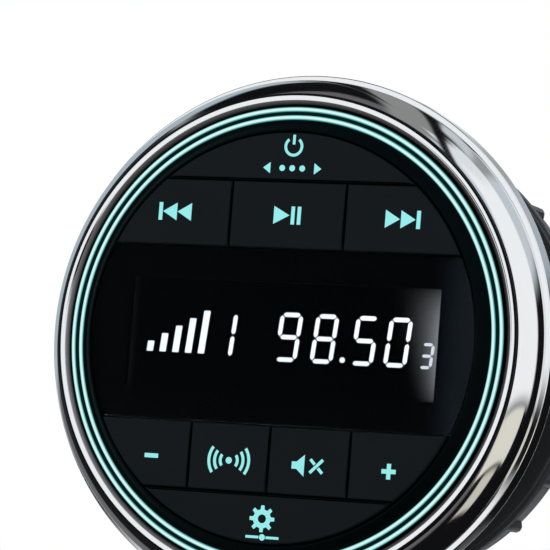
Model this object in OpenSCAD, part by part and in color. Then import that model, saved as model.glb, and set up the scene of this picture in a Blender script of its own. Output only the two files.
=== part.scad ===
// Gauge-style marine stereo for a round hole in a dash panel.
// The face looks along -Y, the barrel runs along +Y and +Z is up. The origin is on the barrel's axis,
// in the plane where the gasket meets the panel.
// Each piece is drawn lying on its back, with x to the right, y up the face and z out of the panel,
// and upright() stands it up.

/* [Face] */
// Diameter of the opening inside the bezel lip
face_d = 92; // [90:0.5:100]
// Width of each light ring
ring_w = 0.9; // [0.6:0.1:1]
// Distance between the centre lines of the two light rings
ring_pitch = 1.6; // [1.5:0.1:2.2]
// Distance from the bezel opening to the centre line of the outer light ring
ring_inset = 1.2; // [1.1:0.1:1.8]
// Height of the light rings from front to back
ring_depth = 4; // [3:0.25:4.25]
// How far the light rings sit behind the crest of the bezel lip
ring_drop = 0.2; // [0.1:0.1:0.8]
// Width of the sloped collar between the inner light ring and the keys
collar_w = 2.85; // [2.5:0.05:4]
// How far the collar's edge sits behind the key tops
collar_drop = 0.6; // [0.3:0.1:1]
// Number of lamps under each light ring
lamp_count = 8; // [6:1:16]

/* [Bezel] */
// Width of the chrome band from the opening to the outside
bezel_band = 6.5; // [6:0.25:9]
// Wall of the bezel shell at its rim
bezel_wall = 2.1; // [1.7:0.1:2.4]
// Height of the rim band above the front seal
rim_over = 1.7; // [1.4:0.1:2.6]
// Step between the rim band and the rounded flank
crease_w = 1; // [0.6:0.1:1.4]
// How far the flank bulges beyond a straight cone
flank_bulge = 1; // [0.4:0.1:1.4]
// Width of the round bead on the lip
lip_w = 1.8; // [1.4:0.1:2.2]
// Depth of the lip inside the opening
lip_depth = 2.1; // [1.8:0.1:2.6]

/* [Keys] */
// Height of the display window between the key rows
window_h = 34.2; // [32:0.2:37]
// Height of each row of keys
row_h = 13.2; // [11:0.2:14]
// Width of the middle key in the upper row
play_w = 24; // [18:0.5:28]
// Width of the two middle keys in the lower row
middle_w = 16.7; // [13:0.5:19]
// How far the key tops stand in front of the bezel lip
key_rise = 2; // [1:0.25:3]
// How far a key moves when it is pressed
key_travel = 0.8; // [0.4:0.1:0.9]
// Gap between neighbouring keys
key_gap = 0.3; // [0.2:0.05:0.5]
// Chamfer round the front edge of a key
key_edge = 0.35; // [0.2:0.05:0.6]
// Extra width cut from a key along the slit beside it
slit_cut = 0.15; // [0.1:0.05:0.3]
// Distance that the slit stops short of the key's corners
slit_end = 1.4; // [0.8:0.2:3]
// Diameter of the guide stem on each key
stem_d = 4; // [3:0.25:5]
// Width of the body of each tact switch
switch_w = 4.5; // [3.5:0.25:6]

/* [Display] */
// Width of the display that shows
view_w = 65; // [56:0.5:67]
// Height of the display that shows
view_h = 21.7; // [16:0.5:24]
// Border of the display glass that the frame hides
glass_border = 1; // [0.6:0.1:1.4]
// Thickness of the display glass
glass_t = 2; // [1.6:0.1:2.6]
// Thickness of the smoked lens
lens_t = 1.5; // [1.2:0.1:2]
// How far the lens sits behind the key tops
lens_recess = 0.4; // [0.2:0.1:0.8]
// Thickness of the bridge that the lens lies on
bridge_t = 1.5; // [1:0.1:2]

/* [Barrel] */
// Diameter of the plain barrel behind the flange
barrel_d = 85; // [83:0.5:87]
// Length of the barrel behind the panel plane
barrel_l = 46; // [43:1:60]
// Length of the plain barrel before the thread starts
pilot_l = 12; // [8:0.5:16]
// Depth of the thread below the plain barrel
thread_depth = 0.8; // [0.4:0.1:0.8]
// Wall of the barrel under the thread
barrel_wall = 2.4; // [2:0.1:3]
// Thickness of the flange
flange_t = 2.5; // [2.2:0.1:4]
// Distance from the flange to the crest of the bezel lip
front_depth = 9.5; // [9.4:0.1:13]

/* [Mounting] */
// Thickness of the panel gasket
gasket_t = 2; // [1:0.25:4]
// Width of the panel gasket
gasket_w = 7.5; // [5:0.25:8]
// Space between gasket and slip washer
panel_space = 25.5; // [16:0.5:27]
// Thickness of the slip washer
washer_t = 1.5; // [1:0.25:2.5]
// Length of the ring nut
nut_h = 14; // [10:0.5:16]
// Wall of the ring nut
nut_wall = 2.7; // [2.2:0.1:4]
// Height of the collar at the front of the ring nut
nut_collar_h = 3; // [2:0.25:5]
// Radius of the grip ribs on the ring nut
rib_r = 1.2; // [0.8:0.1:1.6]
// Number of grip ribs on the ring nut
rib_count = 24; // [12:2:36]

/* [Rear cover] */
// Thickness of the rear cover plate
cover_t = 3; // [2.4:0.2:5]
// Height of the cooling fins
fin_h = 5; // [3:0.5:9]
// Thickness of each fin
fin_t = 1.6; // [1.2:0.1:2.4]
// Distance between fins
fin_pitch = 6; // [4.5:0.5:8]
// Diameter of the cable bore in the gland
gland_bore = 8.4; // [5:0.2:9]
// Length of the tapered nose of the gland
gland_nose = 8; // [5:0.5:12]

/* [Boards] */
// Thickness of both circuit boards
board_t = 1.6; // [1:0.2:2]
// Distance from the rear cover to the main board
pillar_h = 14.8; // [13:0.2:18]
// Height of the smoothing capacitors
capacitor_h = 12; // [8:0.5:16]
// Width of the ribbon cable between the boards
ribbon_w = 12; // [8:0.5:16]

/* [Hidden] */
$fn = 96;
// Slack between pieces that are fitted together
fit_gap = 0.15;
// Running clearance of a key stem in its bore
stem_fit = 0.06;
// Overlap that lets two shapes of one piece fuse
fuse = 0.01;
// Thickness of the flat seals
seal_t = 0.8;

// Radii of the face, from the bezel opening inwards
ring_slack = 0.05;
collar_slack = 0.1;
collar_land = 0.4;
deck_land = 0.6;
lamp_margin = 0.35;
board_slack = 0.3;
face_r = face_d / 2;
ring_out_r = face_r - ring_inset;
ring_in_r = ring_out_r - ring_pitch;
groove_half = ring_w / 2 + ring_slack;
field_r = ring_in_r - ring_w / 2 - collar_w;
collar_in_r = field_r + key_gap + collar_slack;
collar_foot_r = ring_in_r - groove_half - deck_land;
board_r = ring_out_r + ring_w / 2 + lamp_margin;
foot_in_r = board_r + board_slack;

// Levels of the face, from the panel forwards
flange_front = gasket_t + flange_t;
foot_z = flange_front + seal_t;
lip_z = flange_front + front_depth;
ring_z = lip_z - ring_drop;
groove_z = ring_z - ring_depth;
deck_floor = 1.2;
web_t = 2.2;
key_clear = 0.6;
web_back = groove_z - deck_floor;
web_front = web_back + web_t;
key_top = lip_z + key_rise;
key_back = web_front + key_travel + key_clear;
collar_z = key_top - collar_drop;
lens_back = key_top - lens_recess - lens_t;
bridge_back = lens_back - bridge_t;
glass_back = bridge_back - glass_t;

// Keypad behind the keys: stem, membrane cup, switch, board
press_gap = 0.05;
membrane_t = 0.6;
membrane_margin = 0.3;
membrane_r = ring_in_r - ring_w - membrane_margin;
cup_floor_t = 0.4;
cup_slack = 0.35;
cup_wall = 0.6;
stem_short = 0.1;
stem_r = stem_d / 2;
cup_in_r = stem_r + cup_slack;
cup_out_r = cup_in_r + cup_wall;
stem_back = web_back + stem_short;
cup_floor = stem_back - key_travel - press_gap;
cup_back = cup_floor - cup_floor_t;
switch_top = cup_back - press_gap;
switch_h = 0.9;
switch_body_h = 0.6;
board_front = switch_top - switch_h;
board_back = board_front - board_t;
lamp_size = [1.6, 0.8, 0.6];

// Key layout, as seen from the front
window_edge = window_h / 2;
row_edge = window_edge + row_h;
row_mid = window_edge + row_h / 2;
row_chord = sqrt(field_r * field_r - row_edge * row_edge);
top_mid = (row_edge + field_r) / 2;
side_upper_x = (play_w / 2 + row_chord) / 2;
side_lower_x = (middle_w + row_chord) / 2;
key_places = [
    [0, top_mid],
    [-side_upper_x, row_mid],
    [0, row_mid],
    [side_upper_x, row_mid],
    [-side_lower_x, -row_mid],
    [-middle_w / 2, -row_mid],
    [middle_w / 2, -row_mid],
    [side_lower_x, -row_mid],
    [0, -top_mid],
];

// Display and the bosses that hold the front board
glass_w = view_w + 2 * glass_border;
glass_h = view_h + 2 * glass_border;
pocket_gap = 0.2;
bridge_inset = 1.1;
boss_r = 2.2;
boss_inset = 5;
boss_margin = 1.6;
boss_x = glass_w / 2 - boss_inset;
boss_y = glass_h / 2 + boss_r + boss_margin;
boss_places = [for (sx = [-1, 1], sy = [-1, 1]) [sx * boss_x, sy * boss_y]];

// Panel gasket round the barrel, and the bezel shell, which always covers it
gasket_slack = 1;
gasket_inset = 1.5;
barrel_r = barrel_d / 2;
gasket_in_r = barrel_r + gasket_slack;
gasket_out_r = gasket_in_r + gasket_w;
rim_edge = 0.4;
rim_roof = 0.6;
valley_w = 0.15;
valley_rise = 0.1;
bezel_r = max(face_r + bezel_band, gasket_out_r + gasket_inset);
rim_top = foot_z + rim_over;
shell_low = [bezel_r - bezel_wall, rim_top - rim_roof];
shell_high = [face_r + lip_w / 2, lip_z - lip_depth];
flange_r = shell_low[0] - fit_gap;
bead_r = lip_w / 2;
bead_start = 15;
valley = [face_r + lip_w + valley_w, lip_z - bead_r + valley_rise];

// Barrel, nut and washer
washer_slack = 0.5;
washer_inset = 0.4;
nut_slack = 0.1;
nut_collar_lip = 0.6;
thread_r = barrel_r - thread_depth;
barrel_in_r = thread_r - barrel_wall;
washer_in_r = barrel_r + washer_slack;
nut_bore_r = barrel_r + nut_slack;
nut_r = nut_bore_r + nut_wall;
nut_collar_r = nut_r + rib_r + nut_collar_lip;
washer_out_r = nut_collar_r - washer_inset;
washer_back = -panel_space - washer_t;
nut_back = washer_back - nut_h;

// Small screws: radius of shank and head, height of head, clearance of the holes
screw_r = 0.95;
screw_head_r = 1.6;
screw_head_h = 1.2;
screw_hole = 0.2;
thread_hole = 0.05;
flange_screw_count = 6;
flange_screw_start = 30;
flange_screw_inset = 1.5;
flange_screw_r = foot_in_r + flange_screw_inset;
flange_screw_bite = 2.8;
board_screw_bite = 3.4;
tip_gap = 0.3;

// Rear cover and its screws
cover_slack = 0.1;
cover_front = -barrel_l - seal_t;
cover_back = cover_front - cover_t;
cover_r = thread_r - cover_slack;
cover_screw_r = 1.2;
cover_head_r = 2.6;
cover_head_h = 1.6;
cover_boss_r = 3.2;
cover_boss_l = 12;
cover_bite = 9;
boss_sink = 0.8;
cover_circle = barrel_in_r - cover_boss_r + boss_sink;
cover_angles = [45 : 90 : 315];
fin_margin = 2;
fin_field_r = cover_circle - cover_head_r - fin_margin;
fin_steps = floor((fin_field_r - fin_pitch) / fin_pitch);
gland_y = -22;
gland_wall = 2.4;
gland_lip = 2.4;
gland_tip_wall = 1.3;
gland_flange_t = 2.2;
gland_clear = 1.5;
gland_neck_r = gland_bore / 2 + gland_wall;
gland_flange_r = gland_neck_r + gland_lip;
gland_tip_r = gland_bore / 2 + gland_tip_wall;

// Main board and what it carries
main_back = cover_front + pillar_h;
main_front = main_back + board_t;
main_slack = 0.6;
main_r = cover_circle - cover_boss_r - main_slack;
pillar_r = 3;
pillar_inset = 6;
pillar_xy = (main_r - pillar_inset) * sin(45);
pillar_places = [for (sx = [-1, 1], sy = [-1, 1]) [sx * pillar_xy, sy * pillar_xy]];
chip_size = [20, 16, 4.5];
chip_y = 9;
lead_rise = 1.5;
chip_back = main_back - lead_rise - chip_size[2];
lead_pitch = 2.54;
lead_count = 7;
pad_margin = 3;
part_gap = 0.5;
capacitor_r = 4.5;
capacitor_space = 1.8;
capacitor_pitch = 2 * capacitor_r + capacitor_space;
capacitor_y = pillar_xy - screw_head_r - capacitor_r - part_gap;
capacitor_places = [for (i = [-1 : 1]) [i * capacitor_pitch, capacitor_y]];
header_size = [16, 8, 7];
socket_end = 1.5;
socket_w = ribbon_w + 2 * socket_end;
socket_d = 4;
socket_h = 2;
shield_size = [20, 14, 4];
shield_wall = 0.4;
shield_clear = 1.5;
shield_x = (socket_w + shield_size[0]) / 2 + shield_clear;
shield_y = capacitor_y - capacitor_r - part_gap - shield_size[1] / 2;
ribbon_y = -8;
ribbon_sway = 5;
ribbon_t = 0.3;
ribbon_steps = 24;

// Points on an arc about c, from angle a0 to a1
function arc(c, r, a0, a1, steps) =
    [for (i = [0 : steps]) c + r * [cos(a0 + (a1 - a0) * i / steps), sin(a0 + (a1 - a0) * i / steps)]];

// Points on the arc from p to q that stands out from the straight line by rise
function bulged(p, q, rise, steps) =
    let (
        d = q - p,
        c = norm(d),
        r = (c * c / 4 + rise * rise) / (2 * rise),
        centre = (p + q) / 2 - [d[1], -d[0]] / c * (r - rise),
        a0 = atan2(p[1] - centre[1], p[0] - centre[0]),
        a1 = atan2(q[1] - centre[1], q[0] - centre[0])
    )
    arc(centre, r, a0, a1, steps);

// Stands a piece up, so that its z points out of the panel
module upright() {
    rotate([90, 0, 0])
        children();
}

// Round plug between two levels
module plug(r, z0, z1) {
    translate([0, 0, z0])
        cylinder(r = r, h = z1 - z0);
}

// Flat ring between two levels
module flat_ring(r_in, r_out, z0, z1) {
    difference() {
        plug(r_out, z0, z1);
        plug(r_in, z0 - 1, z1 + 1);
    }
}

// Box centred in x and y between two levels
module slab(w, h, z0, z1) {
    translate([-w / 2, -h / 2, z0])
        cube([w, h, z1 - z0]);
}

// Children copied to each place in a list of [x, y]
module at_places(places) {
    for (p = places)
        translate([p[0], p[1], 0])
            children();
}

// Children copied round the axis on a circle of radius r
module round_axis(count, r, start = 0) {
    for (i = [0 : count - 1])
        rotate([0, 0, start + i * 360 / count])
            translate([r, 0, 0])
                children();
}

module bezel_ring() {
    flank_start = [bezel_r - crease_w, rim_top];
    outline = concat(
        [
            [shell_low[0], gasket_t],
            [bezel_r - rim_edge, gasket_t],
            [bezel_r, gasket_t + rim_edge],
            [bezel_r, rim_top - rim_edge],
            [bezel_r - rim_edge, rim_top],
        ],
        bulged(flank_start, valley, flank_bulge, 10),
        arc([face_r + bead_r, lip_z - bead_r], bead_r, bead_start, 180, 10),
        [[face_r, shell_high[1]], shell_high, shell_low]
    );
    color("silver")
        upright()
            rotate_extrude()
                polygon(outline);
}

// Half section of the front frame: web, collar, ring deck with its two grooves, and foot
module frame_section() {
    polygon([
        [0, web_back],
        [0, web_front],
        [collar_in_r, web_front],
        [collar_in_r, collar_z],
        [collar_in_r + collar_land, collar_z],
        [collar_foot_r, ring_z],
        [ring_in_r - groove_half, ring_z],
        [ring_in_r - groove_half, groove_z],
        [ring_in_r + groove_half, groove_z],
        [ring_in_r + groove_half, ring_z],
        [ring_out_r - groove_half, ring_z],
        [ring_out_r - groove_half, groove_z],
        [ring_out_r + groove_half, groove_z],
        [ring_out_r + groove_half, ring_z],
        [face_r - fit_gap, ring_z],
        [face_r - fit_gap, shell_high[1] - fit_gap],
        [shell_high[0] - fit_gap, shell_high[1] - fit_gap],
        [shell_low[0] - fit_gap, shell_low[1] - fit_gap],
        [shell_low[0] - fit_gap, foot_z],
        [foot_in_r, foot_z],
        [foot_in_r, web_back],
    ]);
}

// Bridge across the middle of the frame, with the display's pocket behind it
module lens_bridge() {
    bridge_h = window_h - 2 * bridge_inset;
    intersection() {
        plug(collar_in_r + fuse, web_front - fuse, lens_back);
        slab(2 * face_r, bridge_h, web_back, key_top);
    }
}

module front_frame() {
    pocket_w = glass_w + 2 * pocket_gap;
    pocket_h = glass_h + 2 * pocket_gap;
    color("#15181a")
        upright()
            difference() {
                union() {
                    rotate_extrude()
                        frame_section();
                    lens_bridge();
                    at_places(boss_places)
                        plug(boss_r, board_front, web_back + fuse);
                }
                slab(pocket_w, pocket_h, web_back - 1, bridge_back);
                slab(view_w, view_h, web_back - 1, key_top);
                at_places(key_places)
                    plug(stem_r + stem_fit, web_back - 1, web_front + 1);
                at_places(boss_places)
                    plug(screw_r + thread_hole, board_front - 1, board_front + board_screw_bite);
                round_axis(flange_screw_count, flange_screw_r, flange_screw_start)
                    plug(screw_r + thread_hole, foot_z - 1, foot_z + flange_screw_bite);
                round_axis(lamp_count, ring_in_r)
                    plug(ring_w * 0.4, web_back - 1, groove_z + fuse);
                round_axis(lamp_count, ring_out_r, 180 / lamp_count)
                    plug(ring_w * 0.4, web_back - 1, groove_z + fuse);
            }
}

module light_ring(r) {
    color("#7ff2ee")
        upright()
            flat_ring(r - ring_w / 2, r + ring_w / 2, groove_z, ring_z);
}

module inner_light_ring() {
    light_ring(ring_in_r);
}

module outer_light_ring() {
    light_ring(ring_out_r);
}

// Flat tile across the face with a chamfered front edge, from y0 to y1, cut to the key field
module face_tile(y0, y1, back, front) {
    bar = [
        [y0, back],
        [y1, back],
        [y1, front - key_edge],
        [y1 - key_edge, front],
        [y0 + key_edge, front],
        [y0, front - key_edge],
    ];
    disc = [
        [0, back],
        [field_r, back],
        [field_r, front - key_edge],
        [field_r - key_edge, front],
        [0, front],
    ];
    intersection() {
        rotate_extrude()
            polygon(disc);
        translate([-face_r, 0, 0])
            rotate([90, 0, 90])
                linear_extrude(2 * face_r)
                    polygon(bar);
    }
}

// Wedge bar that chamfers a key's left and right edges
module side_limits(x0, x1) {
    bar = [
        [x0, key_back],
        [x1, key_back],
        [x1, key_top - key_edge],
        [x1 - key_edge, key_top],
        [x0 + key_edge, key_top],
        [x0, key_top - key_edge],
    ];
    translate([0, face_r, 0])
        rotate([90, 0, 0])
            linear_extrude(2 * face_r)
                polygon(bar);
}

// Slit that widens the gap beside a key, short of its corners
module slit(x, y0, y1) {
    translate([x - slit_cut, y0 + slit_end, key_back - 1])
        cube([2 * slit_cut, y1 - y0 - 2 * slit_end, key_top - key_back + 2]);
}

// One key between x0, x1, y0 and y1 with its guide stem at place
module key(x0, x1, y0, y1, place, slits = []) {
    color("#1d2124")
        upright() {
            difference() {
                intersection() {
                    face_tile(y0, y1, key_back, key_top);
                    side_limits(x0, x1);
                }
                for (x = slits)
                    slit(x, y0, y1);
            }
            translate([place[0], place[1], 0])
                plug(stem_r, stem_back, key_back + fuse);
        }
}

// Edges of the keys on either side of a split at v
function before(v) = v - key_gap / 2;
function after(v) = v + key_gap / 2;

module upper_row_key(x0, x1, place, slits) {
    key(x0, x1, after(window_edge), before(row_edge), place, slits);
}

module lower_row_key(x0, x1, place, slits) {
    key(x0, x1, after(-row_edge), before(-window_edge), place, slits);
}

module power_key() {
    key(-face_r, face_r, after(row_edge), face_r, key_places[0]);
}

module previous_key() {
    x1 = before(-play_w / 2);
    upper_row_key(-face_r, x1, key_places[1], [x1]);
}

module play_key() {
    x0 = after(-play_w / 2);
    x1 = before(play_w / 2);
    upper_row_key(x0, x1, key_places[2], [x0, x1]);
}

module next_key() {
    x0 = after(play_w / 2);
    upper_row_key(x0, face_r, key_places[3], [x0]);
}

module volume_down_key() {
    x1 = before(-middle_w);
    lower_row_key(-face_r, x1, key_places[4], [x1]);
}

module band_key() {
    x0 = after(-middle_w);
    x1 = before(0);
    lower_row_key(x0, x1, key_places[5], [x0, x1]);
}

module mute_key() {
    x0 = after(0);
    x1 = before(middle_w);
    lower_row_key(x0, x1, key_places[6], [x0, x1]);
}

module volume_up_key() {
    x0 = after(middle_w);
    lower_row_key(x0, face_r, key_places[7], [x0]);
}

module settings_key() {
    key(-face_r, face_r, -face_r, before(-row_edge), key_places[8]);
}

module display_lens() {
    color("#06080a")
        upright()
            face_tile(after(-window_edge), before(window_edge), lens_back, lens_back + lens_t);
}

module lcd_glass() {
    color("#0b0e16")
        upright()
            slab(glass_w, glass_h, glass_back, bridge_back);
}

// Light box with a shallow tray in its front face
module lcd_backlight() {
    tray_depth = 0.5;
    color("white")
        upright()
            difference() {
                slab(glass_w, glass_h, board_front, glass_back);
                slab(view_w, view_h, glass_back - tray_depth, glass_back + 1);
            }
}

// Silicone sheet with a cup under each stem
module keypad_membrane() {
    color("#33373a")
        upright()
            difference() {
                union() {
                    plug(membrane_r, web_back - membrane_t, web_back);
                    at_places(key_places)
                        plug(cup_out_r, cup_back, web_back - membrane_t + fuse);
                }
                slab(glass_w + 4 * pocket_gap, glass_h + 4 * pocket_gap, cup_back - 1, web_back + 1);
                at_places(key_places)
                    plug(cup_in_r, cup_floor, web_back + 1);
                at_places(boss_places)
                    plug(boss_r + pocket_gap, cup_back - 1, web_back + 1);
            }
}

module key_switches() {
    actuator_r = 1.2;
    color("#8a8d90")
        upright()
            at_places(key_places) {
                slab(switch_w, switch_w, board_front, board_front + switch_body_h);
                plug(actuator_r, board_front, switch_top);
            }
}

module keypad_board() {
    color("#1c4a2c")
        upright()
            difference() {
                plug(board_r, board_back, board_front);
                at_places(boss_places)
                    plug(screw_r + screw_hole, board_back - 1, board_front + 1);
            }
}

module ring_leds() {
    lamp_top = board_front + lamp_size[2];
    color("#e8f4f4")
        upright() {
            round_axis(lamp_count, ring_in_r)
                slab(lamp_size[1], lamp_size[0], board_front, lamp_top);
            round_axis(lamp_count, ring_out_r, 180 / lamp_count)
                slab(lamp_size[1], lamp_size[0], board_front, lamp_top);
        }
}

// Pan-head screw whose head bears at level seat, with its point towards the front
module screw(shank_r, head_r, head_h, seat, tip) {
    plug(head_r, seat - head_h, seat);
    plug(shank_r, seat - fuse, tip);
}

module board_screws() {
    color("#b9bcc0")
        upright()
            at_places(boss_places)
                screw(screw_r, screw_head_r, screw_head_h, board_back, board_front + board_screw_bite - tip_gap);
}

module front_seal() {
    color("#222222")
        upright()
            difference() {
                flat_ring(foot_in_r, flange_r - 2 * fit_gap, flange_front, foot_z);
                round_axis(flange_screw_count, flange_screw_r, flange_screw_start)
                    plug(screw_r + screw_hole, flange_front - 1, foot_z + 1);
            }
}

// Half section of the barrel with its flange
module housing_section() {
    polygon([
        [barrel_in_r, flange_front],
        [flange_r, flange_front],
        [flange_r, gasket_t],
        [barrel_r, gasket_t],
        [barrel_r, -pilot_l],
        [thread_r, -pilot_l],
        [thread_r, -barrel_l],
        [barrel_in_r, -barrel_l],
    ]);
}

module housing() {
    color("#1a1c1e")
        upright()
            difference() {
                union() {
                    rotate_extrude()
                        housing_section();
                    intersection() {
                        plug(barrel_in_r + fuse, -barrel_l, -barrel_l + cover_boss_l);
                        for (a = cover_angles)
                            rotate([0, 0, a])
                                translate([cover_circle, 0, 0])
                                    plug(cover_boss_r, -barrel_l, -barrel_l + cover_boss_l);
                    }
                }
                round_axis(flange_screw_count, flange_screw_r, flange_screw_start) {
                    plug(screw_r + screw_hole, gasket_t - 1, flange_front + 1);
                    plug(screw_head_r + screw_hole, gasket_t - 1, gasket_t + screw_head_h);
                }
                for (a = cover_angles)
                    rotate([0, 0, a])
                        translate([cover_circle, 0, 0])
                            plug(cover_screw_r + thread_hole, -barrel_l - 1, -barrel_l + cover_bite);
            }
}

module flange_screws() {
    color("#b9bcc0")
        upright()
            round_axis(flange_screw_count, flange_screw_r, flange_screw_start)
                screw(
                    screw_r, screw_head_r, screw_head_h - press_gap, gasket_t + screw_head_h,
                    foot_z + flange_screw_bite - tip_gap
                );
}

module panel_gasket() {
    color("#202224")
        upright()
            flat_ring(gasket_in_r, gasket_out_r, 0, gasket_t);
}

module slip_washer() {
    color("#2c2f31")
        upright()
            flat_ring(washer_in_r, washer_out_r, washer_back, -panel_space);
}

// Ring nut with a plain collar in front and round grip ribs behind it
module ring_nut() {
    color("#1c1e20")
        upright()
            difference() {
                union() {
                    plug(nut_r, nut_back, washer_back);
                    plug(nut_collar_r, washer_back - nut_collar_h, washer_back);
                    round_axis(rib_count, nut_r)
                        plug(rib_r, nut_back, washer_back - nut_collar_h + fuse);
                }
                plug(nut_bore_r, nut_back - 1, washer_back + 1);
            }
}

// Upright cooling fins above the gland, cut to a round field
module fins() {
    gland_edge = gland_y + gland_flange_r + gland_clear;
    for (i = [-fin_steps : fin_steps]) {
        x = i * fin_pitch;
        reach = sqrt(fin_field_r * fin_field_r - x * x);
        low = abs(x) < gland_flange_r + gland_clear ? gland_edge : -reach;
        translate([x - fin_t / 2, low, cover_back - fin_h])
            cube([fin_t, reach - low, fin_h + fuse]);
    }
}

// Cast cover with fins outside, and pillars and a chip pad inside
module rear_heat_sink() {
    color("#3a3d40")
        upright()
            difference() {
                union() {
                    plug(cover_r, cover_back, cover_front);
                    fins();
                    at_places(pillar_places)
                        plug(pillar_r, cover_front - fuse, main_back);
                    translate([0, chip_y, 0])
                        slab(
                            chip_size[0] - pad_margin, chip_size[1] - pad_margin, cover_front - fuse, chip_back
                        );
                }
                translate([0, gland_y, 0])
                    plug(gland_neck_r + fit_gap, cover_back - 1, cover_front + 1);
                for (a = cover_angles)
                    rotate([0, 0, a])
                        translate([cover_circle, 0, 0])
                            plug(cover_screw_r + screw_hole, cover_back - 1, cover_front + 1);
                at_places(pillar_places)
                    plug(screw_r + thread_hole, main_back - board_screw_bite, main_back + 1);
            }
}

module cover_seal() {
    color("#222222")
        upright()
            flat_ring(barrel_in_r, cover_r, cover_front, -barrel_l);
}

module cover_screws() {
    color("#b9bcc0")
        upright()
            for (a = cover_angles)
                rotate([0, 0, a])
                    translate([cover_circle, 0, 0])
                        screw(cover_screw_r, cover_head_r, cover_head_h, cover_back, -barrel_l + cover_bite - tip_gap);
}

// Rubber gland with a flange on each side of the cover and a tapered nose
module cable_gland() {
    bore_r = gland_bore / 2;
    outer_back = cover_back - gland_flange_t;
    color("#181a1b")
        upright()
            translate([0, gland_y, 0])
                rotate_extrude()
                    polygon([
                        [bore_r, cover_front + gland_flange_t],
                        [gland_flange_r - 1, cover_front + gland_flange_t],
                        [gland_flange_r - 1, cover_front],
                        [gland_neck_r, cover_front],
                        [gland_neck_r, cover_back],
                        [gland_flange_r, cover_back],
                        [gland_flange_r, outer_back],
                        [gland_neck_r, outer_back],
                        [gland_tip_r, outer_back - gland_nose],
                        [bore_r, outer_back - gland_nose],
                    ]);
}

module main_board() {
    color("#1c4a2c")
        upright()
            difference() {
                plug(main_r, main_back, main_front);
                at_places(pillar_places)
                    plug(screw_r + screw_hole, main_back - 1, main_front + 1);
            }
}

// Screws from the front of the main board into the pillars
module main_board_screws() {
    color("#b9bcc0")
        upright()
            at_places(pillar_places) {
                plug(screw_head_r, main_front, main_front + screw_head_h);
                plug(screw_r, main_back - board_screw_bite + tip_gap, main_front + fuse);
            }
}

// Power chip on its pad, with two rows of leads up to the main board
module amplifier_chip() {
    lead = [0.7, 0.5];
    color("#111111")
        upright()
            translate([0, chip_y, 0]) {
                slab(chip_size[0], chip_size[1], chip_back, chip_back + chip_size[2]);
                for (i = [0 : lead_count - 1], side = [-1, 1])
                    translate([(i - (lead_count - 1) / 2) * lead_pitch, side * (chip_size[1] - lead[1]) / 2, 0])
                        slab(lead[0], lead[1], main_back - lead_rise - fuse, main_back);
            }
}

module smoothing_capacitors() {
    color("#20305a")
        upright()
            at_places(capacitor_places)
                plug(capacitor_r, main_front, main_front + capacitor_h);
}

// Folded tin can over the tuner
module tuner_shield() {
    color("#c4c6c8")
        upright()
            translate([shield_x, shield_y, 0])
                difference() {
                    slab(shield_size[0], shield_size[1], main_front, main_front + shield_size[2]);
                    slab(
                        shield_size[0] - 2 * shield_wall, shield_size[1] - 2 * shield_wall, main_front - 1,
                        main_front + shield_size[2] - shield_wall
                    );
                }
}

// Pin header over the gland, open towards it
module harness_header() {
    header_wall = 1;
    color("#e9e4d4")
        upright()
            translate([0, gland_y, 0])
                difference() {
                    slab(header_size[0], header_size[1], main_back - header_size[2], main_back);
                    slab(
                        header_size[0] - 2 * header_wall, header_size[1] - 2 * header_wall,
                        main_back - header_size[2] - 1, main_back - header_wall
                    );
                }
}

// Flat cable that sways once between the two sockets
module ribbon_cable() {
    top = board_back - socket_h;
    bottom = main_front + socket_h;
    function sway(t) = ribbon_y + ribbon_sway * (1 - cos(360 * t)) / 2;
    function edge(side) = [
        for (i = [0 : ribbon_steps])
            let (t = i / ribbon_steps)
            [sway(t) + side * ribbon_t / 2, top + (bottom - top) * t]
    ];
    far = edge(1);
    color("#d8d4c4")
        upright()
            translate([-ribbon_w / 2, 0, 0])
                rotate([90, 0, 90])
                    linear_extrude(ribbon_w)
                        polygon(concat(edge(-1), [for (i = [ribbon_steps : -1 : 0]) far[i]]));
}

module ribbon_sockets() {
    color("#e9e4d4")
        upright()
            translate([0, ribbon_y, 0]) {
                slab(socket_w, socket_d, board_back - socket_h, board_back);
                slab(socket_w, socket_d, main_front, main_front + socket_h);
            }
}

bezel_ring();
front_frame();
inner_light_ring();
outer_light_ring();
display_lens();
lcd_glass();
lcd_backlight();
power_key();
previous_key();
play_key();
next_key();
volume_down_key();
band_key();
mute_key();
volume_up_key();
settings_key();
keypad_membrane();
key_switches();
keypad_board();
ring_leds();
board_screws();
front_seal();
housing();
flange_screws();
panel_gasket();
slip_washer();
ring_nut();
rear_heat_sink();
cover_seal();
cover_screws();
cable_gland();
main_board();
main_board_screws();
amplifier_chip();
smoothing_capacitors();
tuner_shield();
harness_header();
ribbon_cable();
ribbon_sockets();
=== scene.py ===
import math

import bpy
from mathutils import Matrix, Vector


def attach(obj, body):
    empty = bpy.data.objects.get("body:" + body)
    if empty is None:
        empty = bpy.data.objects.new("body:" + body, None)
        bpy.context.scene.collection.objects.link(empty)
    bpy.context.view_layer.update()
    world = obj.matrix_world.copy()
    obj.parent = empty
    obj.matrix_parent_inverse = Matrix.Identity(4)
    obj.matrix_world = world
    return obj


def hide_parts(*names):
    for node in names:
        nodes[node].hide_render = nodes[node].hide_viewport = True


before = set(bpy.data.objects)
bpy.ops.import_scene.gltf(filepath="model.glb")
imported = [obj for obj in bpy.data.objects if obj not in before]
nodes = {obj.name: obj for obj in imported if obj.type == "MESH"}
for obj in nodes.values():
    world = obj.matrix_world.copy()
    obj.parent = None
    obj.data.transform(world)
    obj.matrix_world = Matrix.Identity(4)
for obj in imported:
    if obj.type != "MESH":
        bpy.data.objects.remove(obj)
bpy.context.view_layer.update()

# Housing: the threaded barrel and its flange, one black glass-filled moulding that goes through the
# panel. It is turned from one section, and a coarse ridge swept up the barrel is the thread that the
# ring nut runs on. The ridge fades out at both ends, as a moulded thread does.
mm = 0.001
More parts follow.
